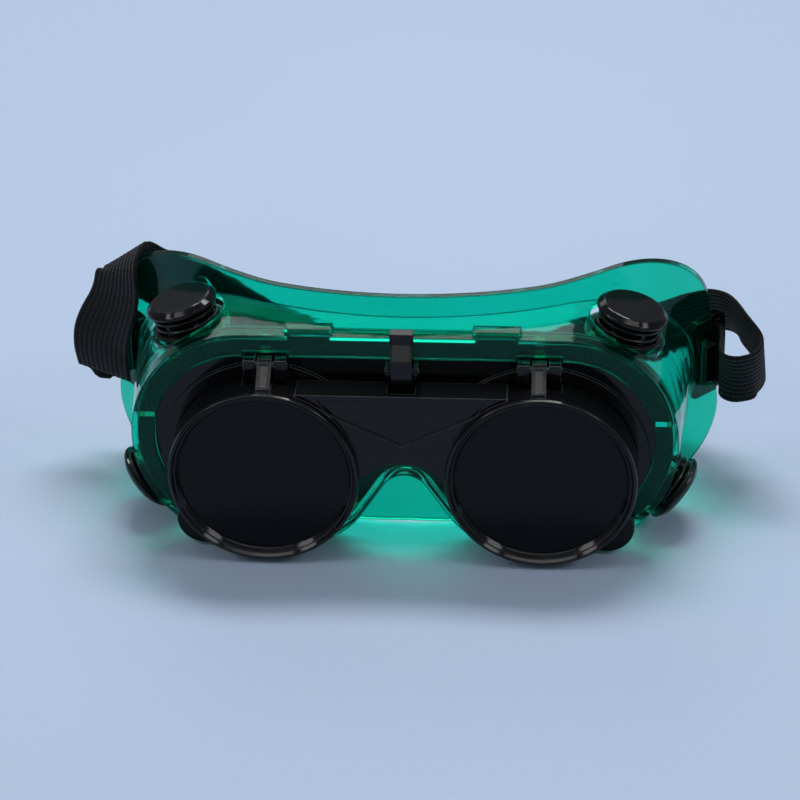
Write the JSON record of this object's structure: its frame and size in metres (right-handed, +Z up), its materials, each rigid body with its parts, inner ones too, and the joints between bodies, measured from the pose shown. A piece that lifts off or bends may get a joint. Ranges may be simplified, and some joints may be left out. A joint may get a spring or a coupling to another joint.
{
  "type": "welding goggles",
  "caption": "Welding goggles with a soft green mask frame, a hinged black front with round dark lenses, a rocker latch, mushroom vents and an elastic head strap.",
  "frame": {"origin": "on the table under the middle of the goggles", "axes": "+Z up, +X across the face towards the viewer's right when the lenses are looked at, lenses facing -Y"},
  "size_m": [0.2048, 0.0892, 0.0771],
  "materials": {
    "pvc_green": "translucent soft moulded PVC, glossy",
    "black_plastic": "moulded black plastic, glossy",
    "pin_steel": "drawn wire",
    "dark_glass": "polished dark welding filter",
    "clear_glass": "polished clear",
    "webbing": "ribbed elastic webbing"
  },
  "bodies": {
    "root": {"mask_frame": "pvc_green", "front_plate": "black_plastic", "latch_pin": "pin_steel", "head_strap": "webbing", "strap_end_left": "webbing", "clear_lens_left": "clear_glass", "clear_lens_ring_left": "black_plastic", "hinge_pin_left": "pin_steel", "strap_clip_left": "black_plastic", "vent_body_upper_left": "black_plastic", "vent_cap_upper_left": "black_plastic", "vent_body_lower_left": "black_plastic", "vent_cap_lower_left": "black_plastic", "clear_lens_right": "clear_glass", "clear_lens_ring_right": "black_plastic", "hinge_pin_right": "pin_steel", "strap_clip_right": "black_plastic", "vent_body_upper_right": "black_plastic", "vent_cap_upper_right": "black_plastic", "vent_body_lower_right": "black_plastic", "vent_cap_lower_right": "black_plastic"},
    "flip": {"flip_front": "black_plastic", "dark_lens_left": "dark_glass", "dark_lens_right": "dark_glass", "lens_retainer_left": "black_plastic", "lens_retainer_right": "black_plastic"},
    "latch": {"front_latch": "black_plastic"}
  },
  "joints": [
    {"name": "flip_hinge", "type": "hinge", "parent": "root", "child": "flip", "pos_m": [0, -0.0341, 0.0593], "axis": [-1, 0, 0], "range_deg": [0, 90]},
    {"name": "latch_rock", "type": "hinge", "parent": "root", "child": "latch", "pos_m": [0, -0.0341, 0.0583], "axis": [1, 0, 0], "range_deg": [0, 10], "stiffness_Nm_per_rad": 0.02, "springref_deg": -5.73}
  ]
}
